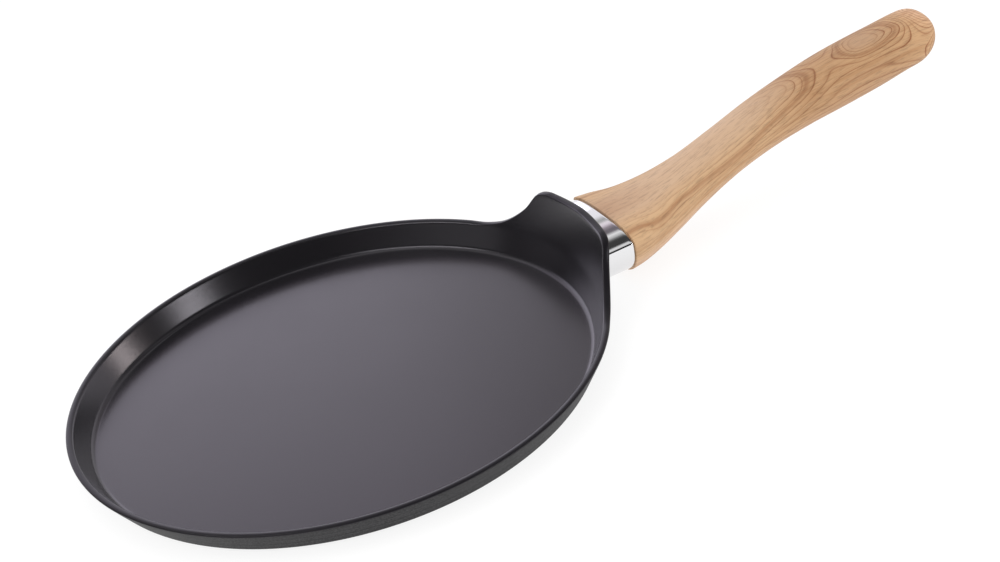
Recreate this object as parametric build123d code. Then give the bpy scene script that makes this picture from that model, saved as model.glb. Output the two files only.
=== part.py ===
from build123d import *
from math import cos, pi, radians, sin, tan
import os

# A crepe pan 24 cm across, in millimetres. The origin is the centre of the base's underside,
# +X runs along the handle and +Z is up.

# Pan body, a coated aluminium casting
rim_radius = 120.0
rim_height = 14.1
lip_width = 3.5
floor_height = 3.0
inner_wall_angle = 27.6
outer_wall_angle = 32.8
floor_fillet = 3.0
base_edge_fillet = 4.0
base_pad_radius = 98.0
base_pad_height = 0.8

# Raised wall that shields the handle
hump_height = 19.5
hump_reach = 7.6
hump_crown = 0.3
hump_flat_angle = 9.6
hump_foot_angle = 28.6
wall_bend_radius = 20.0

# Steel disc let into the base for induction hobs
disc_radius = 88.0
disc_thickness = 0.8
disc_gap = 0.15
stud_radius = 4.0
stud_rings = [(8, 38.0), (16, 66.0)]

# Ferrule, a chromed steel cup between the pan and the wood
joint_reach = 15.6
ferrule_width = 55.2
ferrule_bottom = 3.5
ferrule_thickness = 24.5
ferrule_wall = 1.0
ferrule_gap = 0.3
ferrule_corner_radius = 0.8
crown_share = 0.22
root_lean_share = 0.18
root_fullness_share = 0.66

# Boss cast on the back of the pan, and its tongue inside the handle
boss_side_gap = 5.1
boss_top_gap = 2.75
tongue_side_step = 2.5
tongue_top_step = 1.5
tongue_length = 12.4
tongue_gap = 0.3
boss_root_share = 0.5

# Screw, washers and threaded steel insert
screw_diameter = 6.0
screw_length = 35.0
screw_head_diameter = 10.0
screw_head_height = 6.0
hex_socket_width = 5.0
hex_socket_depth = 3.0
screw_gap = 0.2
screw_hole_gap = 0.4
screw_end_gap = 1.5
insert_diameter = 9.0
insert_length = 12.0
insert_gap = 0.05
washer_diameter = 12.0
washer_thickness = 1.6
washer_bore_gap = 0.3
spring_washer_diameter = 11.2
spring_washer_thickness = 1.6
spring_washer_split = 1.2
web_thickness = 11.5
counterbore_gap = 0.5

# Wooden handle
handle_length = 176.9
handle_rise = 34.0
grip_width = 34.4
grip_thickness = 23.0
wood_proud = 1.0
tip_length = 18.2
tip_power = 3.2

# Each station of the handle: place along it, width and thickness as shares of the grip's, how much
# of the root's flare is left, height as a share of the rise, and how much lies above the widest line
handle_shares = [
    (0.000, 0.86, 0.93, 1.00, 0.000, 0.22),
    (0.040, 0.86, 0.94, 0.90, 0.008, 0.24),
    (0.081, 0.86, 0.95, 0.71, 0.027, 0.28),
    (0.166, 0.84, 0.94, 0.37, 0.120, 0.35),
    (0.251, 0.83, 0.92, 0.12, 0.253, 0.40),
    (0.364, 0.83, 0.90, 0.00, 0.445, 0.43),
    (0.477, 0.86, 0.91, 0.00, 0.602, 0.44),
    (0.590, 0.92, 0.95, 0.00, 0.708, 0.44),
    (0.703, 0.99, 1.00, 0.00, 0.781, 0.44),
    (0.816, 1.00, 0.99, 0.00, 0.837, 0.44),
    (0.890, 0.98, 0.95, 0.00, 0.876, 0.44),
]
tip_shares = [0.30, 0.55, 0.74, 0.87, 0.945, 0.985]
grip_fullness_share = 0.60

# Overrun of cutting bodies past the stock
overrun = 5.0

inner_rim_radius = rim_radius - lip_width
tall_height = rim_height + hump_height + overrun
tall_reach = hump_reach * (hump_height + overrun) / hump_height
joint_place = rim_radius + joint_reach
boss_height = ferrule_bottom + ferrule_thickness / 2
boss_width = ferrule_width - 2 * (ferrule_wall + boss_side_gap)
boss_thickness = ferrule_thickness - 2 * (ferrule_wall + boss_top_gap)
tongue_width = boss_width - 2 * tongue_side_step
tongue_thickness = boss_thickness - 2 * tongue_top_step
socket_width = tongue_width + 2 * tongue_gap
socket_thickness = tongue_thickness + 2 * tongue_gap
web_front = joint_place - ferrule_wall
tongue_end = joint_place + tongue_length
seat_place = tongue_end + tongue_gap + web_thickness
spring_place = seat_place + washer_thickness
head_place = spring_place + spring_washer_thickness


def lean_reach(height, angle):
    """How far a wall that leans by an angle from upright moves sideways over a height."""
    return height * tan(radians(angle))


def wall_side(radius, angle, low):
    """One side of the tall wall: leaning up to the rim, and more upright above it."""
    foot = (radius - lean_reach(rim_height - low, angle), low)
    top = (radius + tall_reach, tall_height)
    return FilletPolyline(foot, (radius, rim_height), top, radius=wall_bend_radius)


def round_body(curves):
    """Turns a profile drawn beside the Z axis, with its seam opposite the handle."""
    profile = Plane.XZ * make_face(Curve(curves).edges())
    return Rot(0, 0, 180) * revolve(profile, Axis.Z)


def outside_body(gap):
    """The whole space inside the pan's outer surface, grown sideways by a gap."""
    side = wall_side(rim_radius + gap, outer_wall_angle, 0)
    return round_body([
        side,
        Line(side @ 1, (0, tall_height)),
        Line((0, tall_height), (0, 0)),
        Line((0, 0), side @ 0),
    ])


def hump_outline():
    """Top edge of the wall seen along the handle: flat crown, eased down to the rim both ways."""
    points = []
    steps = 24
    for step in range(-steps, steps + 1):
        angle = hump_foot_angle * step / steps
        ease = (hump_foot_angle - abs(angle)) / (hump_foot_angle - hump_flat_angle)
        ease = min(max(ease, 0), 1)
        ease = ease ** 3 * (10 - 15 * ease + 6 * ease ** 2)
        rise = (hump_height - hump_crown * (angle / hump_flat_angle) ** 2) * ease
        radius = rim_radius - lip_width / 2 + hump_reach * rise / hump_height
        points.append((radius * sin(radians(angle)), rim_height + rise))
    return points


def oval(place, width, bottom, thickness, crown, fullness, lean):
    """Closed section across the handle: four curved quarters that meet at the widest line.
    The upper two start inwards by the lean, which leaves a corner at each side."""
    half = width / 2
    top = bottom + thickness
    widest = top - thickness * crown
    quarters = []
    for side in (1, -1):
        for end, inwards in ((top, half * lean), (bottom, 0)):
            quarters.append(Bezier(
                (side * half, widest),
                (side * (half - inwards), widest + fullness * (end - widest)),
                (side * half * fullness, end),
                (0, end),
            ))
    return Plane.YZ.offset(place) * make_face(quarters)


def rod(diameter, start, end):
    """A round bar along the boss axis."""
    return Pos(start, 0, boss_height) * Rot(0, 90, 0) * Cylinder(
        diameter / 2, end - start, align=(Align.CENTER, Align.CENTER, Align.MIN))


def slab(width, thickness, start, end):
    """A bar with rounded sides, wider than it is thick, along the boss axis."""
    section = Plane.YZ.offset(start) * Pos(0, boss_height) * SlotOverall(width, thickness)
    return extrude(section, end - start)


def stud_places():
    """Centres of the studs that the base metal pushes through the disc."""
    places = []
    for count, radius in stud_rings:
        for step in range(count):
            turn = 2 * pi * step / count
            places.append((radius * cos(turn), radius * sin(turn)))
    return places


def pan_body():
    """The casting: base, wall with its hump, handle boss and tongue, and the recess of the disc."""
    inner = wall_side(inner_rim_radius, inner_wall_angle, floor_height)
    outer = wall_side(rim_radius, outer_wall_angle, base_pad_height)
    dish = round_body([
        Line((0, floor_height), inner @ 0),
        inner,
        Line(inner @ 1, outer @ 1),
        outer,
        Line(outer @ 0, (0, base_pad_height)),
        Line((0, base_pad_height), (0, floor_height)),
    ])
    corners = dish.edges().filter_by(GeomType.CIRCLE)
    dish = fillet(corners.filter_by_position(Axis.Z, floor_height, floor_height), floor_fillet)
    corners = dish.edges().filter_by(GeomType.CIRCLE)
    dish = fillet(corners.filter_by_position(Axis.Z, base_pad_height, base_pad_height), base_edge_fillet)
    dish = trim_wall(dish)

    boss = slab(boss_width, boss_thickness, inner_rim_radius - overrun, web_front)
    boss += slab(tongue_width, tongue_thickness, web_front - overrun, tongue_end)
    dish += boss - outside_body(-lip_width * boss_root_share)
    dish -= rod(insert_diameter + 2 * insert_gap, tongue_end - insert_length, tongue_end + overrun)
    dish -= rod(screw_diameter + 2 * screw_gap, head_place - screw_length - screw_end_gap, tongue_end)

    dish += cylinder_up(base_pad_radius, 0, base_pad_height)
    dish -= cylinder_up(disc_radius + disc_gap, 0, disc_thickness)
    for x, y in stud_places():
        dish += Pos(x, y, 0) * cylinder_up(stud_radius, 0, disc_thickness)
    return dish


def trim_wall(dish):
    """Cuts the tall wall down to the rim, and to the outline of the hump beside the handle."""
    reach = rim_radius + tall_reach + overrun
    sky_top = tall_height + overrun
    crest = hump_outline()
    outline = make_face([
        Line((-reach, rim_height), crest[0]),
        Spline(*crest, tangents=[(1, 0), (1, 0)]),
        Line(crest[-1], (reach, rim_height)),
        Line((reach, rim_height), (reach, sky_top)),
        Line((reach, sky_top), (-reach, sky_top)),
        Line((-reach, sky_top), (-reach, rim_height)),
    ])
    front = extrude(Plane.YZ * outline, reach)
    back = Pos(0, 0, rim_height) * Box(
        reach, 2 * reach, sky_top - rim_height, align=(Align.MAX, Align.CENTER, Align.MIN))
    return dish - front - back


def cylinder_up(radius, low, high):
    """An upright cylinder about the Z axis."""
    return Pos(0, 0, low) * Cylinder(radius, high - low, align=(Align.CENTER, Align.CENTER, Align.MIN))


def base_disc():
    """Steel disc flush with the base, with a hole for each stud."""
    disc = cylinder_up(disc_radius, 0, disc_thickness)
    for x, y in stud_places():
        disc -= Pos(x, y, 0) * cylinder_up(stud_radius + disc_gap, 0, disc_thickness)
    return disc


def ferrule():
    """Drawn cup: a sleeve scribed to the pan's wall, closed behind by a web with a slot."""
    start = rim_radius - lean_reach(rim_height, outer_wall_angle) - overrun
    shape = (crown_share, root_fullness_share, root_lean_share)
    outside = oval(start, ferrule_width, ferrule_bottom, ferrule_thickness, *shape)
    inside = oval(
        start,
        ferrule_width - 2 * ferrule_wall,
        ferrule_bottom + ferrule_wall,
        ferrule_thickness - 2 * ferrule_wall,
        *shape,
    )
    cup = extrude(outside, joint_place - start)
    side_corners = cup.edges().filter_by(Axis.X).sort_by(Axis.Y)
    cup = fillet([side_corners[0], side_corners[-1]], ferrule_corner_radius)
    cup -= extrude(inside, web_front - start)
    cup -= slab(socket_width, socket_thickness, start, joint_place + overrun)
    return cup - outside_body(ferrule_gap)


def handle_section(along, width_share, thickness_share, flare, rise_share, crown, tip=1):
    """One section of the handle, between the root's size and the grip's."""
    root_width = ferrule_width + 2 * wood_proud
    root_thickness = ferrule_thickness + 2 * wood_proud
    width = grip_width * width_share
    thickness = grip_thickness * thickness_share
    width = tip * (width + (root_width - width) * flare)
    thickness = tip * (thickness + (root_thickness - thickness) * flare)
    middle = boss_height + handle_rise * rise_share
    fullness = grip_fullness_share + (root_fullness_share - grip_fullness_share) * flare
    lean = root_lean_share * flare
    return oval(joint_place + along, width, middle - thickness / 2, thickness, crown, fullness, lean)


def handle():
    """Turned and shaped wood: a socket for the tongue, and a counterbored hole for the screw."""
    sections = []
    for row in handle_shares:
        sections.append(handle_section(handle_length * row[0], *row[1:]))
    last = handle_shares[-1]
    tip_start = handle_length - tip_length
    for share in tip_shares:
        along = tip_start + tip_length * share
        rise = last[4] + (1 - last[4]) * share ** 2
        closing = (1 - share ** tip_power) ** (1 / tip_power)
        sections.append(handle_section(along, *last[1:4], rise, last[5], closing))
    wood = loft(sections)
    wood -= slab(socket_width, socket_thickness, joint_place - overrun, tongue_end + tongue_gap)
    wood -= rod(screw_diameter + 2 * screw_hole_gap, joint_place, seat_place + overrun)
    wood -= rod(washer_diameter + 2 * counterbore_gap, seat_place, joint_place + handle_length / 2)
    return wood


def thread_insert():
    """Threaded steel bush cast into the end of the tongue."""
    bush = rod(insert_diameter, tongue_end - insert_length, tongue_end)
    return bush - rod(screw_diameter + 2 * screw_gap, tongue_end - insert_length, tongue_end)


def flat_washer():
    """Washer on the wooden seat."""
    bore = screw_diameter + 2 * washer_bore_gap
    return rod(washer_diameter, seat_place, spring_place) - rod(bore, seat_place, spring_place)


def spring_washer():
    """Split washer under the screw's head."""
    bore = screw_diameter + 2 * washer_bore_gap
    ring = rod(spring_washer_diameter, spring_place, head_place) - rod(bore, spring_place, head_place)
    split = Pos(spring_place, 0, boss_height) * Box(
        spring_washer_thickness, spring_washer_split, spring_washer_diameter,
        align=(Align.MIN, Align.CENTER, Align.MIN))
    return ring - split


def handle_screw():
    """Socket-head screw that draws the handle on to the boss."""
    end = head_place + screw_head_height
    screw = rod(screw_diameter, head_place - screw_length, head_place)
    screw += rod(screw_head_diameter, head_place, end)
    socket = Plane.YZ.offset(end - hex_socket_depth) * Pos(0, boss_height) * RegularPolygon(
        hex_socket_width / 2, 6, major_radius=False)
    return screw - extrude(socket, hex_socket_depth)


parts = {
    "pan_body": pan_body,
    "base_disc": base_disc,
    "thread_insert": thread_insert,
    "ferrule": ferrule,
    "handle": handle,
    "flat_washer": flat_washer,
    "spring_washer": spring_washer,
    "handle_screw": handle_screw,
}
os.makedirs("parts", exist_ok=True)
for name, make in parts.items():
    export_step(make(), f"parts/{name}.step")
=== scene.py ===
import bpy
import numpy as np
from mathutils import Matrix


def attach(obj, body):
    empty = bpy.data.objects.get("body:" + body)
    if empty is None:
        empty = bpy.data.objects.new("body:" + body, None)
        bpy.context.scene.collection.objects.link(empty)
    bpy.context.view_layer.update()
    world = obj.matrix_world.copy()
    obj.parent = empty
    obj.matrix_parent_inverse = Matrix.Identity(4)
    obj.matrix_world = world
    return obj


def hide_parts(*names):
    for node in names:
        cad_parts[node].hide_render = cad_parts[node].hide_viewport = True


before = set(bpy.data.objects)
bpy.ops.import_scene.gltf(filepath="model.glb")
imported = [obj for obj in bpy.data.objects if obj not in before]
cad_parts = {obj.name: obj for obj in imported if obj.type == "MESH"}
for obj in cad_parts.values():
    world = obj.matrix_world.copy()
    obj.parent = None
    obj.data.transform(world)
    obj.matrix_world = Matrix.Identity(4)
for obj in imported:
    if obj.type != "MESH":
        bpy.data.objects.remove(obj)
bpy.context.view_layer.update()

# Pan casting. One piece of cast aluminium with a low flared wall that rises beside the handle. It is
# turned flat underneath and coated all over but there: smooth inside, finely speckled outside.
mm = 0.001
rim_radius = 120.0 * mm
rim_height = 14.1 * mm
lip_width = 3.5 * mm
lip_inner_round = 0.6 * mm
lip_outer_round = 0.8 * mm
lip_sag = 0.35 * mm
lip_crown = 0.5 * mm
floor_height = 3.0 * mm
inner_wall_angle = 27.6
outer_wall_angle = 32.8
floor_fillet = 3.0 * mm
base_edge_fillet = 4.0 * mm
base_pad_radius = 98.0 * mm
base_pad_height = 0.8 * mm
hump_height = 19.5 * mm
hump_reach = 7.6 * mm
wall_bend = 0.8 * mm

# Angle from the handle, and how far the wall rises above the rim there as a share of the hump's height.
hump_crest = np.array([
    (0, 1.043),
    (4, 1.031),
    (7, 1.023),
    (9.5, 1.020),
    (12, 1.012),
    (14.5, 0.925),
    (17, 0.608),
    (20, 0.358),
    (24, 0.133),
    (29, 0.010),
    (35, 0.000),
])

recess_radius = 88.15 * mm
recess_height = 0.8 * mm
edge_break = 0.2 * mm
floor_shares = (0.1, 0.3, 0.5, 0.7, 0.85, 0.95, 0.99)
columns_round = 480
crest_samples = 400
settling_rounds = 12
fillet_rows = 12
wall_rows = 22
inner_lip_rows = 6
lip_rows = 9
outer_lip_rows = 7
sharp_angle = np.radians(50)

coat_color = (0.0105, 0.0095, 0.0115, 1)
coat_tint = (0.96, 0.92, 1.0, 1)
coat_roughness = 0.25
lip_roughness = 0.30
lip_mirror = 0.17
plain_mirror = 0.5
speckled_roughness = 0.55
speckled_mirror = 0.2
speckle_dark = (0.004, 0.004, 0.0045, 1)
speckle_light = (0.046, 0.044, 0.048, 1)
bare_aluminium = (0.62, 0.62, 0.63, 1)


def wall_radius(height, radius, angle):
    """Radius of one side of the wall at a height. Below the rim it is a line that leans by the angle,
    above it a line that leans as the hump does, and a hyperbola joins the two."""
    low = np.tan(np.radians(angle))
    high = hump_reach / hump_height
    above = height - rim_height
    return radius + (low + high) / 2 * above + (high - low) / 2 * np.sqrt(above ** 2 + wall_bend ** 2)


def eased(value, places, sizes):
    """Smooth curve through a table: in each interval a cubic whose slopes at the two ends are those
    of the parabola through each point and its neighbours."""
    slopes = np.gradient(sizes, places)
    left = np.clip(np.searchsorted(places, value, side="right") - 1, 0, len(places) - 2)
    span = places[left + 1] - places[left]
    t = (value - places[left]) / span
    start = (1 + 2 * t) * (1 - t) ** 2 * sizes[left] + t * (1 - t) ** 2 * span * slopes[left]
    end = t ** 2 * (3 - 2 * t) * sizes[left + 1] + t ** 2 * (t - 1) * span * slopes[left + 1]
    return start + end


def crest_height(side):
    """Height of the wall's top edge at a distance to the side of the handle: the rise at each angle,
    laid out by how far to the side the lip's middle is there, radius x sin(angle)."""
    angle = np.linspace(0, hump_crest[-1, 0], crest_samples)
    rise = hump_height * eased(angle, hump_crest[:, 0], hump_crest[:, 1])
    radius = rim_radius - lip_width / 2 + hump_reach * rise / hump_height
    return np.interp(np.abs(side), radius * np.sin(np.radians(angle)), rim_height + rise)


def edge_height(turn, radius, angle):
    """Height at which one side of the wall meets the crest. The crest is a shape seen along the
    handle, so height = crest(sideways place at that height) is repeated until it settles."""
    height = np.full_like(turn, rim_height)
    for _ in range(settling_rounds):
        side = wall_radius(height, radius, angle) * np.sin(turn)
        height = np.where(np.cos(turn) > 0, crest_height(side), rim_height)
    return height


def rounded_corner(start, corner, end, steps):
    """Points from start to end round a corner: a parabola, (1-t)^2 start + 2t(1-t) corner + t^2 end."""
    t = np.linspace(0, 1, steps).reshape([-1] + [1] * np.ndim(start))
    return (1 - t) ** 2 * start + 2 * t * (1 - t) * corner + t ** 2 * end


def unit(arrows):
    """The same directions, each one long."""
    return arrows / np.linalg.norm(arrows, axis=-1, keepdims=True)


def turned_arc(radius, height, size, first, last, steps, columns):
    """A round corner of the turned profile: centre plus size times (cos, sin) of the angle."""
    angle = np.radians(np.linspace(first, last, steps))
    points = np.stack([radius + size * np.cos(angle), height + size * np.sin(angle)], -1)
    return np.repeat(points[:, None], columns, 1)


def turned_corners(corners, columns):
    """Corners of the turned profile, each a radius and a height, the same all the way round."""
    return np.repeat(np.array(corners)[:, None], columns, 1)


def pan_profile(turn):
    """Radius and height of the pan's section at each turn, from the middle of the floor outwards,
    up the inner wall, over the rounded lip and down to the base, as four bands of rows."""
    columns = len(turn)
    inner_radius = rim_radius - lip_width
    lean = np.tan(np.radians(inner_wall_angle))
    foot = inner_radius - lean * (rim_height - floor_height)
    tangent = floor_fillet * np.tan(np.radians(90 - inner_wall_angle) / 2)
    flat = foot - tangent
    floor = turned_corners([(share * flat, floor_height) for share in floor_shares], columns)
    fillet = turned_arc(
        flat, floor_height + floor_fillet, floor_fillet, -90, -inner_wall_angle, fillet_rows, columns)

    inner_top = edge_height(turn, inner_radius, inner_wall_angle) - lip_sag
    outer_top = edge_height(turn, rim_radius, outer_wall_angle) - lip_sag
    low = fillet[-1, 0, 1]
    share = np.linspace(0, 1, wall_rows)[1:, None]
    height = low + (inner_top - lip_inner_round - low) * share
    inner_wall = np.stack([wall_radius(height, inner_radius, inner_wall_angle), height], -1)

    inner_corner = np.stack([wall_radius(inner_top, inner_radius, inner_wall_angle), inner_top], -1)
    outer_corner = np.stack([wall_radius(outer_top, rim_radius, outer_wall_angle), outer_top], -1)
    across = unit(outer_corner - inner_corner)
    upright = np.stack([-across[..., 1], across[..., 0]], -1)
    crown = (inner_corner + outer_corner) / 2 + lip_crown * upright
    lip_start = inner_corner + lip_inner_round * unit(crown - inner_corner)
    lip_end = outer_corner + lip_outer_round * unit(crown - outer_corner)
    inner_lip = rounded_corner(inner_wall[-1], inner_corner, lip_start, inner_lip_rows)
    lip = rounded_corner(lip_start, crown, lip_end, lip_rows)
    outer_foot = outer_top - lip_outer_round
    outer_start = np.stack([wall_radius(outer_foot, rim_radius, outer_wall_angle), outer_foot], -1)
    outer_lip = rounded_corner(lip_end, outer_corner, outer_start, outer_lip_rows)

    lean = np.tan(np.radians(outer_wall_angle))
    foot = rim_radius - lean * (rim_height - base_pad_height)
    flat = foot - base_edge_fillet * np.tan(np.radians(90 - outer_wall_angle) / 2)
    base_edge = turned_arc(
        flat,
        base_pad_height + base_edge_fillet,
        base_edge_fillet,
        -outer_wall_angle,
        -90,
        fillet_rows,
        columns,
    )
    share = np.linspace(0, 1, wall_rows)[1:-1, None]
    height = outer_foot + (base_edge[0, 0, 1] - outer_foot) * share
    outer_wall = np.stack([wall_radius(height, rim_radius, outer_wall_angle), height], -1)

    pad = turned_corners([
        (base_pad_radius + 5 * edge_break, base_pad_height),
        (base_pad_radius + edge_break, base_pad_height),
        (base_pad_radius, base_pad_height - edge_break),
        (base_pad_radius, edge_break),
        (base_pad_radius - edge_break, 0),
        (base_pad_radius - 5 * edge_break, 0),
        (recess_radius + 5 * edge_break, 0),
        (recess_radius + edge_break, 0),
        (recess_radius, edge_break),
        (recess_radius, recess_height),
        (recess_radius / 2, recess_height),
    ], columns)
    inside = np.concatenate([floor, fillet, inner_wall, inner_lip[1:4]])
    edge = np.concatenate([inner_lip[4:], lip[1:], outer_lip[1:5]])
    outside = np.concatenate([outer_lip[5:], outer_wall, base_edge])
    return inside, edge, outside, pad


def closed_skin(name, rings, first, last, finishes, finish_of_row=None):
    """A closed mesh: rings of points joined by four-sided faces, with a fan to one point at each end.
    Its volume, the sum of a . (b x c) / 6 over its triangles, tells whether to turn the faces round."""
    rows, columns = rings.shape[:2]
    points = np.vstack([[first], rings.reshape(-1, 3), [last]])
    here = np.arange(columns)
    beside = np.roll(here, -1)
    row = 1 + columns * np.arange(rows - 1)[:, None]
    quads = np.stack([row + here, row + beside, row + columns + beside, row + columns + here], -1)
    quads = quads.reshape(-1, 4)
    first_fan = np.stack([here * 0, 1 + beside, 1 + here], -1)
    end = 1 + columns * (rows - 1)
    last_fan = np.stack([here * 0 + len(points) - 1, end + here, end + beside], -1)
    triangles = np.vstack([first_fan, quads[:, :3], quads[:, [0, 2, 3]], last_fan])
    a, b, c = points[triangles].transpose(1, 0, 2)
    step = 1 if np.sum(a * np.cross(b, c)) > 0 else -1
    faces = first_fan[:, ::step].tolist() + quads[:, ::step].tolist() + last_fan[:, ::step].tolist()
    mesh = bpy.data.meshes.new(name)
    mesh.from_pydata(points.tolist(), [], faces)
    for finish in finishes:
        mesh.materials.append(finish)
    if finish_of_row is not None:
        of_face = np.concatenate([
            np.full(columns, finish_of_row[0]),
            np.repeat(finish_of_row[:-1], columns),
            np.full(columns, finish_of_row[-1]),
        ])
        mesh.polygons.foreach_set("material_index", of_face.astype(np.int32))
    mesh.shade_smooth()
    mesh.set_sharp_from_angle(angle=sharp_angle)
    piece = bpy.data.objects.new(name, mesh)
    bpy.context.scene.collection.objects.link(piece)
    return piece


def node(tree, kind, inputs=(), **settings):
    """Adds one shader node. Each input is set to a value, or joined to another node's output."""
    made = tree.nodes.new("ShaderNode" + kind)
    for key, value in settings.items():
        setattr(made, key, value)
    for key, value in dict(inputs).items():
        if isinstance(value, bpy.types.NodeSocket):
            tree.links.new(value, made.inputs[key])
        else:
            made.inputs[key].default_value = value
    return made


def ramp(tree, value, stops):
    """A colour for each place on a scale from 0 to 1, blended between the stops."""
    made = node(tree, "ValToRGB", {"Fac": value})
    for place, color in stops[2:]:
        made.color_ramp.elements.new(place).color = color
    for element, (place, color) in zip(made.color_ramp.elements, sorted(stops)):
        element.position = place
        element.color = color
    return made.outputs["Color"]


def grey(value):
    """A neutral colour."""
    return (value, value, value, 1)


def new_finish(name):
    """A new material, its node tree, its shader and the coordinates of the piece in metres."""
    finish = bpy.data.materials.new(name)
    finish.use_nodes = True
    tree = finish.node_tree
    return finish, tree, tree.nodes["Principled BSDF"], node(tree, "TexCoord").outputs["Object"]


def smooth_coat(name, roughness, mirror):
    """Smooth non-stick film: dark, half glossy, with a faint cloudy change of gloss and a fine grain.
    The mirror value is how strongly it reflects."""
    finish, tree, shader, place = new_finish(name)
    cloud = node(tree, "TexNoise", {"Vector": place, "Scale": 22, "Detail": 3})
    gloss = node(tree, "MapRange", {
        "Value": cloud.outputs["Fac"],
        "From Min": 0.35,
        "From Max": 0.65,
        "To Min": roughness - 0.012,
        "To Max": roughness + 0.012,
    })
    grain = node(tree, "TexNoise", {"Vector": place, "Scale": 1800, "Detail": 2})
    bump = node(tree, "Bump", {"Strength": 0.09, "Distance": 0.1 * mm, "Height": grain.outputs["Fac"]})
    tree.links.new(gloss.outputs["Result"], shader.inputs["Roughness"])
    tree.links.new(bump.outputs["Normal"], shader.inputs["Normal"])
    shader.inputs["Base Color"].default_value = coat_color
    shader.inputs["Specular Tint"].default_value = coat_tint
    shader.inputs["Specular IOR Level"].default_value = mirror
    shader.inputs["IOR"].default_value = 1.62
    return finish


def speckled_coat():
    """Coat of the outside: a dull dark film with fine lighter flecks, and faint rings left in the
    casting under it."""
    finish, tree, shader, place = new_finish("speckled_coat")
    height = node(tree, "SeparateXYZ", {"Vector": place})
    rings = node(tree, "TexNoise", {
        "W": height.outputs["Z"], "Scale": 900, "Detail": 2}, noise_dimensions="1D")
    fleck = node(tree, "TexNoise", {"Vector": place, "Scale": 1500, "Detail": 2, "Roughness": 0.7})
    both = node(tree, "Math", {
        0: rings.outputs["Fac"], 1: 0.6, 2: fleck.outputs["Fac"]}, operation="MULTIPLY_ADD")
    color = ramp(tree, both.outputs[0], [(0.70, speckle_dark), (0.98, speckle_light)])
    bump = node(tree, "Bump", {"Strength": 0.3, "Distance": 0.1 * mm, "Height": both.outputs[0]})
    tree.links.new(color, shader.inputs["Base Color"])
    tree.links.new(bump.outputs["Normal"], shader.inputs["Normal"])
    shader.inputs["Roughness"].default_value = speckled_roughness
    shader.inputs["Specular IOR Level"].default_value = speckled_mirror
    return finish


def turned_metal(name, color, groove, roughness):
    """Metal faced on a lathe: uneven rings round the middle, about as wide as the groove, in its height
    and its gloss."""
    finish, tree, shader, place = new_finish(name)
    flat = node(tree, "Mapping", {"Vector": place, "Scale": (1, 1, 0)})
    radius = node(tree, "VectorMath", {0: flat.outputs["Vector"]}, operation="LENGTH")
    rings = node(tree, "TexNoise", {
        "W": radius.outputs["Value"], "Scale": 0.5 / groove, "Detail": 2}, noise_dimensions="1D")
    gloss = node(tree, "MapRange", {
        "Value": rings.outputs["Fac"],
        "From Min": 0.3,
        "From Max": 0.7,
        "To Min": roughness - 0.06,
        "To Max": roughness + 0.06,
    })
    bump = node(tree, "Bump", {"Strength": 0.07, "Distance": 0.05 * mm, "Height": rings.outputs["Fac"]})
    tree.links.new(gloss.outputs["Result"], shader.inputs["Roughness"])
    tree.links.new(bump.outputs["Normal"], shader.inputs["Normal"])
    shader.inputs["Base Color"].default_value = color
    shader.inputs["Metallic"].default_value = 1
    return finish


turn = np.linspace(0, 2 * np.pi, columns_round, endpoint=False)
bands = pan_profile(turn)
section = np.concatenate(bands)
pan_rings = np.stack([
    section[..., 0] * np.cos(turn),
    section[..., 0] * np.sin(turn),
    section[..., 1],
], -1)
bare_metal = turned_metal("turned_aluminium", bare_aluminium, 1.0 * mm, 0.34)
outside_coat = speckled_coat()
pan = closed_skin(
    "pan",
    pan_rings,
    (0, 0, floor_height),
    (0, 0, recess_height),
    [
        smooth_coat("smooth_non_stick", coat_roughness, plain_mirror),
        smooth_coat("worn_lip", lip_roughness, lip_mirror),
        outside_coat,
        bare_metal,
    ],
    np.repeat([0, 1, 2, 3], [len(band) for band in bands]),
)
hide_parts("pan_body")
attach(pan, "root")

# Studs of the base. Plugs of the same aluminium, pressed up through the holes of the steel disc to
# hold it, and turned flush with it.
stud_radius = 4.0 * mm
stud_rings = [(8, 38.0 * mm), (16, 66.0 * mm)]
stud_columns = 32


def stud(name, x, y):
    """A short round bar that stands in the recess: circles at its top, its broken edge and its foot."""
    turn = np.linspace(0, 2 * np.pi, stud_columns, endpoint=False)
    circles = turned_corners([
        (stud_radius, recess_height),
        (stud_radius, edge_break / 2),
        (stud_radius - edge_break / 2, 0),
        (stud_radius - 5 * edge_break, 0),
    ], len(turn))
    rings = np.stack([
        x + circles[..., 0] * np.cos(turn),
        y + circles[..., 0] * np.sin(turn),
        circles[..., 1],
    ], -1)
    return closed_skin(name, rings, (x, y, recess_height), (x, y, 0), [bare_metal])


for count, radius in stud_rings:
    for number, turn_angle in enumerate(np.arange(count) * 2 * np.pi / count):
        name = "base_stud_%d_%d" % (count, number + 1)
        piece = stud(name, radius * np.cos(turn_angle), radius * np.sin(turn_angle))
        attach(piece, "root")

# Base disc. Magnetic stainless steel for induction hobs, with a round hole for each stud, pressed
# into the underside and turned with it.
disc_steel_color = (0.56, 0.56, 0.57, 1)
base_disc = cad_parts["base_disc"]
base_disc.data.materials.clear()
base_disc.data.materials.append(turned_metal("turned_steel", disc_steel_color, 1.6 * mm, 0.3))

# Boss. It is cast on the back of the hump and carries the handle: a bar with rounded sides inside
# the ferrule, and a thinner tongue that runs on into the wood.
joint_reach = 15.6 * mm
joint_place = rim_radius + joint_reach
ferrule_width = 55.2 * mm
ferrule_bottom = 3.5 * mm
ferrule_thickness = 24.5 * mm
ferrule_wall = 1.0 * mm
ferrule_gap = 0.3 * mm
boss_height = ferrule_bottom + ferrule_thickness / 2
boss_width = 43.0 * mm
boss_thickness = 17.0 * mm
tongue_width = 38.0 * mm
tongue_thickness = 14.0 * mm
tongue_length = 12.4 * mm
bar_columns = 64


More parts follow.
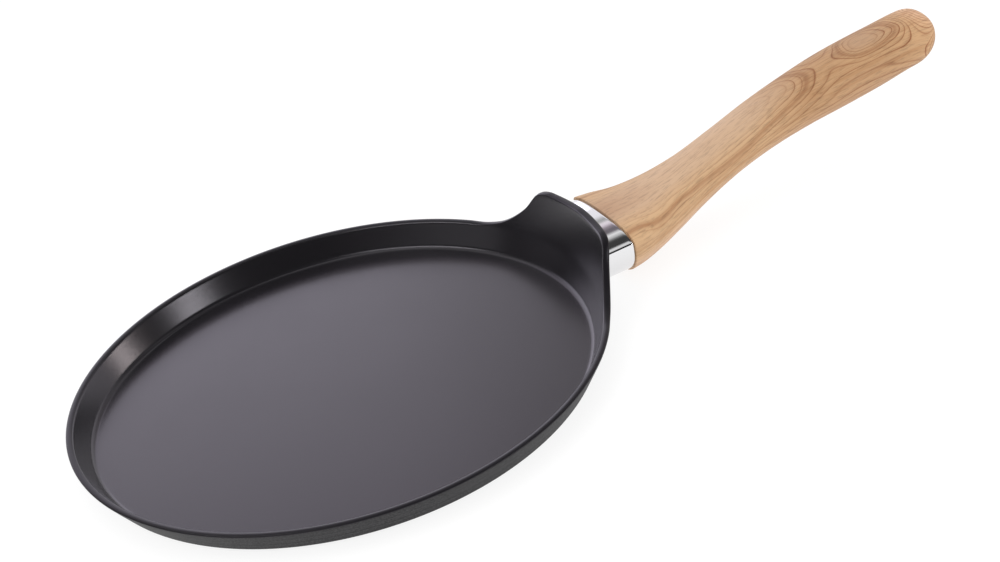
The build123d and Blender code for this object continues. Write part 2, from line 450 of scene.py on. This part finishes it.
def rounded_bar(width, thickness, columns):
    """Sideways place and height round a bar with half-round sides: a circle as thick as the bar,
    whose two halves are moved apart."""
    turn = np.linspace(0, 2 * np.pi, columns, endpoint=False)
    side = thickness / 2 * np.cos(turn) + (width - thickness) / 2 * np.sign(np.cos(turn).round(9))
    return np.stack([side, boss_height + thickness / 2 * np.sin(turn)], -1)


def scribed_place(section, gap):
    """Place along the handle where a section meets the wall's outside, grown by a gap:
    x^2 + y^2 = (wall radius at that height + gap)^2."""
    radius = wall_radius(section[..., 1], rim_radius, outer_wall_angle) + gap
    return np.sqrt(radius ** 2 - section[..., 0] ** 2)


def at_place(section, place):
    """One ring across the handle: a section put at a place along it."""
    return np.concatenate([np.broadcast_to(place, section[:, 0].shape)[:, None], section], 1)


bar = rounded_bar(boss_width, boss_thickness, bar_columns)
tongue = rounded_bar(tongue_width, tongue_thickness, bar_columns)
boss_rings = np.stack([
    at_place(bar, scribed_place(bar, -lip_width / 2)),
    at_place(bar, joint_place - ferrule_wall),
    at_place(tongue, joint_place - ferrule_wall),
    at_place(tongue, joint_place + tongue_length),
])
boss = closed_skin(
    "handle_boss",
    boss_rings,
    (rim_radius - lip_width / 2, 0, boss_height),
    (joint_place + tongue_length, 0, boss_height),
    [outside_coat],
)
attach(boss, "root")

# Ferrule. A cup drawn from steel sheet and chromed to a mirror, flat-arched on top with a tight
# corner at each side. It is scribed to the pan's wall and clamped under the wood by the screw.
crown_share = 0.17
root_lean_share = 0.18
root_fullness_share = 0.66
ferrule_corner_round = 0.5 * mm
ferrule_edge_round = 0.45 * mm
quarter_points = 24
corner_points = 7
ferrule_rows = 14
edge_rows = 6
chrome_color = (0.80, 0.80, 0.81, 1)


def oval(width, bottom, thickness, crown, fullness, lean, corner_round):
    """Closed section across the handle: four cubic curves that meet at the widest line, which lies
    the crown's share of the thickness below the top. A curve sets out for the fullness share of the
    way up or down, and the upper two inwards by the lean too, which leaves a corner at each side. A
    parabola rounds it, from where the curves are about the corner's size away, 3 t reach = size.
    Arrays of sizes give one section each."""
    width, bottom, thickness, crown, fullness, lean, corner_round = (
        np.asarray(size, float)[..., None]
        for size in (width, bottom, thickness, crown, fullness, lean, corner_round))
    half = width / 2
    top = bottom + thickness
    widest = top - thickness * crown
    quarters = {}
    for side in (1, -1):
        for end, inwards in ((top, half * lean), (bottom, 0)):
            reach = np.hypot(inwards, fullness * (end - widest))
            first = corner_round / (3 * reach)
            t = first + (1 - first) * np.linspace(0, 1, quarter_points)
            one, two, three = (1 - t) ** 3, 3 * t * (1 - t) ** 2, 3 * t ** 2 * (1 - t)
            across = side * (half * one + (half - inwards) * two + half * fullness * three)
            up = widest * one + (widest + fullness * (end - widest)) * two + end * (three + t ** 3)
            quarters[side, end is top] = np.stack([across, up], -1)
    corners = {}
    for side, start, end in ((1, False, True), (-1, True, False)):
        point = np.concatenate([side * half, widest], -1)
        from_point = quarters[side, start][..., 0, :]
        to_point = quarters[side, end][..., 0, :]
        arc = rounded_corner(from_point, point, to_point, corner_points)
        corners[side] = np.moveaxis(arc, 0, -2)
    return np.concatenate([
        corners[1],
        quarters[1, True][..., 1:, :],
        quarters[-1, True][..., -2:0:-1, :],
        corners[-1],
        quarters[-1, False][..., 1:, :],
        quarters[1, False][..., -2:0:-1, :],
    ], -2)


def chrome():
    """Bright chrome plate, with the faint haze that polishing leaves."""
    finish, tree, shader, place = new_finish("polished_chrome")
    haze = node(tree, "TexNoise", {"Vector": place, "Scale": 90, "Detail": 4})
    gloss = node(tree, "MapRange", {"Value": haze.outputs["Fac"], "To Min": 0.03, "To Max": 0.09})
    tree.links.new(gloss.outputs["Result"], shader.inputs["Roughness"])
    shader.inputs["Base Color"].default_value = chrome_color
    shader.inputs["Metallic"].default_value = 1
    return finish


def ferrule_section(inset):
    """The ferrule's outline, moved inwards by an inset."""
    return oval(
        ferrule_width - 2 * inset,
        ferrule_bottom + inset,
        ferrule_thickness - 2 * inset,
        crown_share,
        root_fullness_share,
        root_lean_share,
        ferrule_corner_round,
    )


outer = ferrule_section(0)
inner = ferrule_section(ferrule_wall)
front = scribed_place(outer, ferrule_gap)
rings = [
    at_place(inner, joint_place - ferrule_wall),
    at_place(inner, scribed_place(inner, ferrule_gap)),
    at_place(ferrule_section(edge_break), scribed_place(ferrule_section(edge_break), ferrule_gap)),
    at_place(outer, front + edge_break),
]
back = joint_place - ferrule_edge_round
for share in np.linspace(0, 1, ferrule_rows)[1:]:
    rings.append(at_place(outer, front + edge_break + (back - front - edge_break) * share))
for bend in np.radians(np.linspace(0, 90, edge_rows)[1:]):
    inset = ferrule_edge_round * (1 - np.cos(bend))
    rings.append(at_place(ferrule_section(inset), back + ferrule_edge_round * np.sin(bend)))
ferrule = closed_skin(
    "ferrule_cup",
    np.stack(rings),
    (joint_place - ferrule_wall, 0, boss_height),
    (joint_place, 0, boss_height),
    [chrome()],
)
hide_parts("ferrule")
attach(ferrule, "root")

# Handle. One piece of light wood, shaped and sanded, oiled but not varnished: wide at the ferrule,
# waisted, and swelling to a rounded tip. A counterbore on the underside takes the screw.
handle_length = 176.9 * mm
handle_rise = 34.0 * mm
grip_width = 34.4 * mm
grip_thickness = 23.0 * mm
wood_proud = 1.0 * mm
wood_edge_round = 0.6 * mm
wood_corner_round = 1.6 * mm
tip_length = 18.2 * mm
tip_power = 3.2
grip_fullness_share = 0.60
seat_place = 159.8 * mm
counterbore_radius = 6.5 * mm
counterbore_columns = 48
shaft_rows = 110
tip_rows = 26

# Place along the handle, width and thickness as shares of the grip's, how much of the root's flare
# is left, height as a share of the rise, and how much of the thickness lies above the widest line.
handle_shares = np.array([
    (0.000, 0.86, 0.93, 1.00, 0.000, 0.17),
    (0.040, 0.86, 0.94, 0.90, 0.008, 0.19),
    (0.081, 0.86, 0.95, 0.71, 0.027, 0.24),
    (0.166, 0.84, 0.94, 0.37, 0.120, 0.33),
    (0.251, 0.83, 0.92, 0.12, 0.253, 0.39),
    (0.364, 0.83, 0.90, 0.00, 0.445, 0.43),
    (0.477, 0.86, 0.91, 0.00, 0.602, 0.44),
    (0.590, 0.92, 0.95, 0.00, 0.708, 0.44),
    (0.703, 0.99, 1.00, 0.00, 0.781, 0.44),
    (0.816, 1.00, 0.99, 0.00, 0.837, 0.44),
    (0.890, 0.98, 0.95, 0.00, 0.876, 0.44),
    (0.948, 0.98, 0.95, 0.00, 0.910, 0.44),
    (1.000, 0.98, 0.95, 0.00, 1.000, 0.44),
])


def handle_rings(along, inset, closing):
    """Rings of the handle at places along it: each size is the grip's share plus what is left of the
    root's flare, less an inset, and is drawn in by the closing share towards the tip."""
    width_share, thickness_share, flare, rise, crown = (
        eased(along / handle_length, handle_shares[:, 0], column) for column in handle_shares[:, 1:].T)
    width = grip_width * width_share
    width = closing * (width + (ferrule_width + 2 * wood_proud - width) * flare) - 2 * inset
    thickness = grip_thickness * thickness_share
    thickness = closing * (thickness + (ferrule_thickness + 2 * wood_proud - thickness) * flare) - 2 * inset
    middle = boss_height + handle_rise * rise
    fullness = grip_fullness_share + (root_fullness_share - grip_fullness_share) * flare
    lean = root_lean_share * flare
    sections = oval(
        width, middle - thickness / 2, thickness, crown, fullness, lean, wood_corner_round * closing)
    places = np.broadcast_to((joint_place + along)[:, None, None], sections[..., :1].shape)
    return np.concatenate([places, sections], -1)


wood_pale = (0.56, 0.375, 0.24, 1)
wood_golden = (0.575, 0.365, 0.20, 1)
wood_pink = (0.68, 0.445, 0.285, 1)
wood_line = (0.28, 0.105, 0.038, 1)
wood_streak = (0.86, 0.76, 0.68, 1)
wood_aged = (0.84, 0.78, 0.72, 1)
wood_tip_tone = (1.0, 0.96, 0.92, 1)
# Painted shade: the colour that darkens the top of the handle next to the ferrule, as the hump and ferrule
# shade it.
root_painted_shade = (0.82, 0.75, 0.71, 1)
ring_spacing = 0.85 * mm
waver_size = 1.6 * mm
ring_span = 30 * mm
layer_span = 60 * mm
arch_span = 24 * mm
arch_middle = 3 * mm
arch_side = 16 * mm
pith_aside = 0.5 * mm
shell_squash = (0, 0.85, 1.3)
grain_stretch = (0.12, 1, 1)
fibre_stretch = (0.11, 1, 1)
streak_stretch = (0.012, 1, 1)
growth_swing = 1.8
wood_roughness = 0.55
wood_mirror = 0.35

# Place along the handle and height of the growth rings' pith there, as a share of the layer span.
pith_shares = [
    (0.000, 0.385),
    (0.060, 0.389),
    (0.113, 0.407),
    (0.170, 0.434),
    (0.226, 0.476),
    (0.283, 0.522),
    (0.339, 0.571),
    (0.396, 0.619),
    (0.452, 0.663),
    (0.509, 0.692),
    (0.565, 0.718),
    (0.622, 0.733),
    (0.678, 0.745),
    (0.735, 0.762),
    (0.791, 0.775),
    (0.848, 0.785),
    (0.904, 0.788),
    (0.950, 0.773),
    (1.000, 0.742),
]

# Place along the handle and how much of the distance to the side counts for the rings there.
spread_shares = [(0, 0.55), (0.08, 0.62), (0.2, 0.85), (0.32, 1), (1, 1)]

# Place along the handle and what is added there to the rings' radius near the middle line, which is
# the arch span x (share - 0.5).
arch_shares = [
    (0, 0.5),
    (0.54, 0.5),
    (0.65, 0.558),
    (0.72, 0.525),
    (0.80, 0.385),
    (0.87, 0.445),
    (0.915, 0.5),
    (0.95, 0.572),
    (0.97, 0.62),
    (0.985, 0.668),
    (1, 0.80),
]


def curve_of(tree, value, points):
    """A smooth curve of one value, through points from 0 to 1."""
    made = node(tree, "FloatCurve", {"Value": value})
    line = made.mapping.curves[0]
    line.points[0].location = points[0]
    line.points[1].location = points[-1]
    for point in points[1:-1]:
        line.points.new(*point)
    made.mapping.update()
    return made.outputs["Value"]


def oiled_wood():
    """Flat-sawn wood. Growth rings are squashed shells about a pith inside the handle, at
    radius^2 = (0.85 y)^2 + (1.3 h)^2. The pith rises nearly as the handle does, and the rings are
    shifted near the middle line, so that they come out on top as nested arches with an eye near the
    tip, and run along the sides in long lines."""
    finish, tree, shader, place = new_finish("oiled_wood")
    axes = node(tree, "SeparateXYZ", {"Vector": place})
    along = node(tree, "MapRange", {
        "Value": axes.outputs["X"],
        "From Min": joint_place,
        "From Max": joint_place + handle_length,
    })
    pith = curve_of(tree, along.outputs["Result"], pith_shares)
    spread = curve_of(tree, along.outputs["Result"], spread_shares)
    drop = node(tree, "Math", {0: pith, 1: -layer_span, 2: axes.outputs["Z"]}, operation="MULTIPLY_ADD")
    aside = node(tree, "Math", {0: axes.outputs["Y"], 1: spread}, operation="MULTIPLY")
    straight = node(tree, "CombineXYZ", {
        "X": axes.outputs["X"],
        "Y": aside.outputs[0],
        "Z": drop.outputs[0],
    })
    grain = node(tree, "Mapping", {"Vector": straight.outputs["Vector"], "Scale": grain_stretch})
    waver = node(tree, "TexNoise", {"Vector": grain.outputs["Vector"], "Scale": 60, "Detail": 1})
    shell = node(tree, "Mapping", {
        "Vector": straight.outputs["Vector"], "Location": (0, pith_aside, 0), "Scale": shell_squash})
    radius = node(tree, "VectorMath", {0: shell.outputs["Vector"]}, operation="LENGTH")
    arch = curve_of(tree, along.outputs["Result"], arch_shares)
    arch = node(tree, "MapRange", {"Value": arch, "To Min": -arch_span / 2, "To Max": arch_span / 2})
    off_middle = node(tree, "Math", {0: axes.outputs["Y"]}, operation="ABSOLUTE")
    near_middle = node(tree, "MapRange", {
        "Value": off_middle.outputs[0],
        "From Min": arch_middle,
        "From Max": arch_side,
        "To Min": 1,
        "To Max": 0,
    }, interpolation_type="SMOOTHSTEP")
    radius = node(tree, "Math", {
        0: arch.outputs["Result"],
        1: near_middle.outputs["Result"],
        2: radius.outputs["Value"],
    }, operation="MULTIPLY_ADD")
    shifted = node(tree, "Math", {
        0: waver.outputs["Fac"], 1: waver_size, 2: radius.outputs[0]}, operation="MULTIPLY_ADD")
    growth = node(tree, "TexNoise", {
        "W": shifted.outputs[0], "Scale": 260, "Detail": 1}, noise_dimensions="1D")
    count = node(tree, "Math", {0: shifted.outputs[0], 1: ring_spacing}, operation="DIVIDE")
    count = node(tree, "Math", {
        0: growth.outputs["Fac"], 1: growth_swing, 2: count.outputs[0]}, operation="MULTIPLY_ADD")
    ring = node(tree, "Math", {0: count.outputs[0]}, operation="FRACT")
    band = ramp(tree, ring.outputs[0], [
        (0.0, grey(0.5)), (0.12, grey(0.05)), (0.55, grey(0.06)), (0.86, grey(0.35)), (0.95, grey(1.0))])

    year = node(tree, "Math", {0: count.outputs[0]}, operation="FLOOR")
    season = node(tree, "TexWhiteNoise", {"W": year.outputs[0]}, noise_dimensions="1D")
    outwards = node(tree, "MapRange", {"Value": shifted.outputs[0], "From Max": ring_span})
    depth = ramp(tree, outwards.outputs["Result"], [
        (0.30, grey(0.12)), (0.37, grey(0.9)), (0.48, grey(0.8)), (0.70, grey(0.9)), (0.95, grey(0.6))])
    season = node(tree, "MapRange", {"Value": season.outputs["Value"], "To Min": 0.5, "To Max": 1.0})
    clearness = ramp(tree, along.outputs["Result"], [
        (0.0, grey(0.35)),
        (0.15, grey(0.5)),
        (0.45, grey(0.8)),
        (0.6, grey(1.0)),
        (0.8, grey(1.0)),
        (0.9, grey(1.5)),
    ])
    streaks = ramp(tree, outwards.outputs["Result"], [
        (0.34, grey(0.2)), (0.44, grey(0.7)), (0.6, grey(1.0))])
    line = node(tree, "Math", {0: band, 1: depth}, operation="MULTIPLY")
    line = node(tree, "Math", {0: line.outputs[0], 1: season.outputs["Result"]}, operation="MULTIPLY")
    line = node(tree, "Math", {0: line.outputs[0], 1: clearness}, operation="MULTIPLY")
    ridge = ramp(tree, outwards.outputs["Result"], [
        (0.395, grey(0)), (0.41, grey(0.55)), (0.418, grey(0.45)), (0.43, grey(0))])
    line = node(tree, "Math", {0: line.outputs[0], 1: ridge}, operation="MAXIMUM")
    aged = ramp(tree, along.outputs["Result"], [
        (0.42, grey(1.0)), (0.60, wood_aged), (0.84, wood_aged), (0.96, wood_tip_tone)])
    # Painted shade: a mask over the top of the handle, strongest at the ferrule and gone a sixth of the way
    # along, where the hump and ferrule shade the wood.
    root = ramp(tree, along.outputs["Result"], [(0.02, grey(1.0)), (0.16, grey(0.0))])
    root = node(tree, "Math", {0: root, 1: near_middle.outputs["Result"]}, operation="MULTIPLY")
    tone = ramp(tree, outwards.outputs["Result"], [
        (0.30, wood_pale), (0.40, wood_golden), (0.50, wood_golden), (0.64, wood_pink), (0.95, wood_golden)])

    fibre_place = node(tree, "Mapping", {"Vector": straight.outputs["Vector"], "Scale": fibre_stretch})
    fibre = node(tree, "TexNoise", {
        "Vector": fibre_place.outputs["Vector"], "Scale": 1500, "Detail": 3, "Roughness": 0.65})
    streak_place = node(tree, "Mapping", {"Vector": straight.outputs["Vector"], "Scale": streak_stretch})
    streak = node(tree, "TexNoise", {"Vector": streak_place.outputs["Vector"], "Scale": 650, "Detail": 3})
    soft = ramp(tree, streak.outputs["Fac"], [(0.34, wood_streak), (0.52, grey(1.0)), (0.66, grey(1.07))])
    soft = node(tree, "Mix", {"Factor": streaks, "A": grey(1), "B": soft}, data_type="RGBA")
    fine = ramp(tree, fibre.outputs["Fac"], [(0.36, grey(0.78)), (0.50, grey(1.0))])
    lined = node(tree, "Mix", {
        "Factor": line.outputs[0], "A": tone, "B": wood_line}, data_type="RGBA")
    mottled = node(tree, "Mix", {
        "Factor": 1.0, "A": lined.outputs["Result"], "B": soft.outputs["Result"]},
        data_type="RGBA", blend_type="MULTIPLY")
    mottled = node(tree, "Mix", {
        "Factor": 1.0, "A": mottled.outputs["Result"], "B": aged}, data_type="RGBA", blend_type="MULTIPLY")
    # The painted shade is laid on the top of the handle by the ferrule.
    mottled = node(tree, "Mix", {
        "Factor": root.outputs[0], "A": mottled.outputs["Result"], "B": root_painted_shade},
        data_type="RGBA", blend_type="MULTIPLY")
    color = node(tree, "Mix", {
        "Factor": 1.0, "A": mottled.outputs["Result"], "B": fine}, data_type="RGBA", blend_type="MULTIPLY")
    tree.links.new(color.outputs["Result"], shader.inputs["Base Color"])
    bump = node(tree, "Bump", {"Strength": 0.15, "Distance": 0.15 * mm, "Height": fibre.outputs["Fac"]})
    tree.links.new(bump.outputs["Normal"], shader.inputs["Normal"])
    shader.inputs["Roughness"].default_value = wood_roughness
    shader.inputs["Specular IOR Level"].default_value = wood_mirror
    return finish


bend = np.radians(np.linspace(0, 90, edge_rows))
front_along = wood_edge_round * (1 - np.cos(bend))
front_inset = wood_edge_round * (1 - np.sin(bend))
tip_start = handle_length - tip_length
shaft_along = np.linspace(wood_edge_round, tip_start, shaft_rows)[1:]
swing = np.radians(np.linspace(0, 90, tip_rows)[1:-1])
tip_along = tip_start + tip_length * np.sin(swing) ** (2 / tip_power)
tip_closing = np.cos(swing) ** (2 / tip_power)
wood_rings = np.concatenate([
    handle_rings(front_along, front_inset, np.ones(len(bend))),
    handle_rings(shaft_along, 0, np.ones(len(shaft_along))),
    handle_rings(tip_along, 0, tip_closing),
])
tip_height = boss_height + handle_rise
handle = closed_skin(
    "wooden_handle",
    wood_rings,
    (joint_place, 0, boss_height),
    (joint_place + handle_length, 0, tip_height),
    [oiled_wood()],
)

turn = np.linspace(0, 2 * np.pi, counterbore_columns, endpoint=False)
circle = np.stack([counterbore_radius * np.cos(turn), boss_height + counterbore_radius * np.sin(turn)], -1)
cutter = closed_skin(
    "counterbore_cutter",
    np.stack([at_place(circle, seat_place), at_place(circle, joint_place + handle_length / 2)]),
    (seat_place, 0, boss_height),
    (joint_place + handle_length / 2, 0, boss_height),
    [],
)
bore = handle.modifiers.new("counterbore", "BOOLEAN")
bore.operation = "DIFFERENCE"
bore.solver = "EXACT"
bore.object = cutter
bpy.context.view_layer.update()
cut_mesh = bpy.data.meshes.new_from_object(handle.evaluated_get(bpy.context.evaluated_depsgraph_get()))
handle.modifiers.clear()
handle.data = cut_mesh
handle.data.set_sharp_from_angle(angle=sharp_angle)
bpy.data.objects.remove(cutter)
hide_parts("handle")
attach(handle, "root")

# Screw, washers and bush. Bright zinc-plated steel parts, bought in: the screw goes up the
# counterbore, through both washers and the wood, into the threaded bush in the tongue.
zinc_color = (0.58, 0.58, 0.60, 1)


def zinc_plate():
    """Bright zinc on steel, slightly cloudy."""
    finish, tree, shader, place = new_finish("zinc_plate")
    cloud = node(tree, "TexNoise", {"Vector": place, "Scale": 400, "Detail": 4})
    gloss = node(tree, "MapRange", {"Value": cloud.outputs["Fac"], "To Min": 0.22, "To Max": 0.42})
    tree.links.new(gloss.outputs["Result"], shader.inputs["Roughness"])
    shader.inputs["Base Color"].default_value = zinc_color
    shader.inputs["Metallic"].default_value = 1
    return finish


zinc = zinc_plate()
for name in ("handle_screw", "flat_washer", "spring_washer", "thread_insert"):
    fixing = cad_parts[name]
    fixing.data.materials.clear()
    fixing.data.materials.append(zinc)

# Room. A white table in a white room, lit by soft boxes. It is dark where the camera stands and, by a
# curtain, at the left. The directions front, right and up are the camera's, laid on the table.
camera_turn = 15.151
front = np.array([-np.sin(np.radians(camera_turn)), -np.cos(np.radians(camera_turn)), 0])
right = np.array([np.cos(np.radians(camera_turn)), -np.sin(np.radians(camera_turn)), 0])
up = np.array([0, 0, 1.0])
ambient_strength = 0.95
table_glow = 0.85
table_color = 0.18

# What polished metal mirrors, by the angle from the horizon behind the pan over the top of the room:
# a white back wall, a gap with a pink light in it, a strip of light that fades, a dark ceiling, a thin
# light at its near edge, and the dark where the camera stands.
room_bands = [
    (0, (0.97, 0.95, 1.0, 1)),
    (29.5, (0.97, 0.95, 1.0, 1)),
    (31.0, grey(0.40)),
    (32.0, grey(0.42)),
    (33.2, (0.95, 0.88, 0.93, 1)),
    (34.5, (0.80, 0.72, 0.79, 1)),
    (36.5, (0.36, 0.31, 0.35, 1)),
    (39.5, (0.18, 0.16, 0.18, 1)),
    (43.0, (0.20, 0.18, 0.20, 1)),
    (48.2, grey(0.90)),
    (51.0, grey(0.70)),
    (54.0, grey(0.52)),
    (57.0, grey(0.26)),
    (60.5, grey(0.09)),
    (64.0, grey(0.055)),
    (76.5, grey(0.05)),
    (79.5, grey(0.80)),
    (84.5, grey(0.75)),
    (87.0, grey(0.02)),
    (180, grey(0.02)),
]


def white_table():
    """White surface with a glow of its own, so that it is white but for the object's soft shadow.
    From below it is clear, and the underside of the pan is seen through it."""
    finish, tree, shader, place = new_finish("white_table")
    back = node(tree, "NewGeometry").outputs["Backfacing"]
    clear = node(tree, "BsdfTransparent")
    surface = node(tree, "MixShader", {0: back, 1: shader.outputs["BSDF"], 2: clear.outputs["BSDF"]})
    tree.links.new(surface.outputs["Shader"], tree.nodes["Material Output"].inputs["Surface"])
    shader.inputs["Emission Strength"].default_value = table_glow
    shader.inputs["Emission Color"].default_value = grey(1)
    shader.inputs["Base Color"].default_value = grey(table_color)
    shader.inputs["Roughness"].default_value = 1
    shader.inputs["Specular IOR Level"].default_value = 0
    return finish


table_half = 6.0
table_height = -0.05 * mm
table_mesh = bpy.data.meshes.new("table")
table_mesh.from_pydata([
    (-table_half, -table_half, table_height),
    (table_half, -table_half, table_height),
    (table_half, table_half, table_height),
    (-table_half, table_half, table_height),
], [], [(0, 1, 2, 3)])
table_mesh.materials.append(white_table())
table = bpy.data.objects.new("table", table_mesh)
bpy.context.scene.collection.objects.link(table)

world = bpy.data.worlds.new("room")
bpy.context.scene.world = world
world.use_nodes = True
tree = world.node_tree
background = tree.nodes["Background"]
path = node(tree, "LightPath")
direction = node(tree, "TexCoord").outputs["Generated"]
behind = node(tree, "VectorMath", {0: direction, 1: tuple(-front)}, operation="DOT_PRODUCT")
height = node(tree, "SeparateXYZ", {"Vector": direction})
fold = node(tree, "Math", {0: height.outputs["Z"], 1: behind.outputs["Value"]}, operation="ARCTAN2")
fold = node(tree, "MapRange", {"Value": fold.outputs[0], "From Max": np.pi})
room = ramp(tree, fold.outputs["Result"], [(angle / 180, color) for angle, color in room_bands])

# The curtain begins and is full where a direction points so far to the left, straight left being 1.
curtain_edge = 0.55
curtain_full = 0.75
curtain_share = 0.15
curtain_color = grey(0.02)
leftwards = node(tree, "VectorMath", {0: direction, 1: tuple(-right)}, operation="DOT_PRODUCT")
uncovered = node(tree, "MapRange", {
    "Value": leftwards.outputs["Value"],
    "From Min": curtain_edge,
    "From Max": curtain_full,
    "To Min": 1,
    "To Max": curtain_share,
})
room = node(tree, "Mix", {
    "Factor": uncovered.outputs["Result"], "A": curtain_color, "B": room}, data_type="RGBA")
ambient = node(tree, "Mix", {
    "Factor": path.outputs["Is Diffuse Ray"],
    "A": room.outputs["Result"],
    "B": grey(ambient_strength),
}, data_type="RGBA")
seen = node(tree, "Mix", {
    "Factor": path.outputs["Is Camera Ray"], "A": ambient.outputs["Result"], "B": grey(1)}, data_type="RGBA")
tree.links.new(seen.outputs["Result"], background.inputs["Color"])
background.inputs["Strength"].default_value = 1


def soft_box(name, toward, elevation, distance, width, height, power, color=(1, 1, 1)):
    """A flat rectangular lamp that faces the pan. It stands at the distance times the direction
    cos(elevation) x toward + sin(elevation) x up."""
    angle = np.radians(elevation)
    flat = np.array(toward) / np.linalg.norm(toward)
    away = np.cos(angle) * flat + np.sin(angle) * up
    side = np.cross(up, away)
    side = side / np.linalg.norm(side)
    lamp = bpy.data.lights.new(name, "AREA")
    lamp.shape = "RECTANGLE"
    lamp.size = width
    lamp.size_y = height
    lamp.energy = power
    lamp.color = color
    holder = bpy.data.objects.new(name, lamp)
    turned = np.eye(4)
    turned[:3, :3] = np.stack([side, np.cross(away, side), away], 1)
    turned[:3, 3] = distance * away
    holder.matrix_world = Matrix(turned.tolist())
    bpy.context.scene.collection.objects.link(holder)


# Direction along the table, elevation in degrees, distance, width and height in metres, watts.
soft_box("top_box", -0.3 * front - 0.6 * right, 68, 1.6, 1.3, 1.0, 2)
soft_box("back_box", -front - 0.35 * right, 17.0, 2.2, 2.2, 0.94, 6.2, color=(0.86, 0.82, 1.0))
soft_box("back_left_box", -0.97 * front - 0.24 * right, 33, 2.0, 1.15, 0.56, 1.15, color=(0.88, 0.84, 1.0))
soft_box("right_box", 0.57 * front + 0.82 * right, 21.5, 1.8, 0.5, 0.13, 3.5)
soft_box("side_box", -0.09 * front + right, 12, 1.8, 0.3, 0.14, 2.2, color=(1.0, 0.93, 0.88))
soft_box("left_box", 0.40 * front - 0.92 * right, 55, 1.8, 1.6, 0.3, 6.5)
soft_box("low_left_box", 0.53 * front - 0.85 * right, 19, 1.8, 2.3, 0.25, 1.3)

# Camera. A long lens from above the near side, tilted as the photograph is. Angles are in degrees,
# the distance from the middle of the pan's base is in metres, sensor and lens are in millimetres.
camera_distance = 1.080087
camera_elevation = 31.229
camera_yaw = -4.138
camera_pitch = 1.373
camera_roll = 16.696
sensor_width = 36
focal_length = 90


def turned_about(axis, degrees, vectors):
    """Vectors turned about an axis by the right-hand rule: v cos + (k x v) sin + k (k . v)(1 - cos)."""
    angle = np.radians(degrees)
    along = (vectors @ axis)[:, None] * axis
    return vectors * np.cos(angle) + np.cross(axis, vectors) * np.sin(angle) + along * (1 - np.cos(angle))


away = np.cos(np.radians(camera_elevation)) * front + np.sin(np.radians(camera_elevation)) * up
look = -away
above = np.cross(right, look)
axes = np.stack([right, above, look])
axes = turned_about(right, camera_pitch, axes)
axes = turned_about(above, camera_yaw, axes)
axes = turned_about(axes[2], camera_roll, axes)
lens = bpy.data.cameras.new("camera")
lens.sensor_width = sensor_width
lens.lens = focal_length
camera = bpy.data.objects.new("camera", lens)
turned = np.eye(4)
turned[:3, :3] = np.stack([axes[0], axes[1], -axes[2]], 1)
turned[:3, 3] = camera_distance * away
camera.matrix_world = Matrix(turned.tolist())
bpy.context.scene.collection.objects.link(camera)
bpy.context.scene.camera = camera
bpy.context.scene.view_settings.view_transform = "Standard"
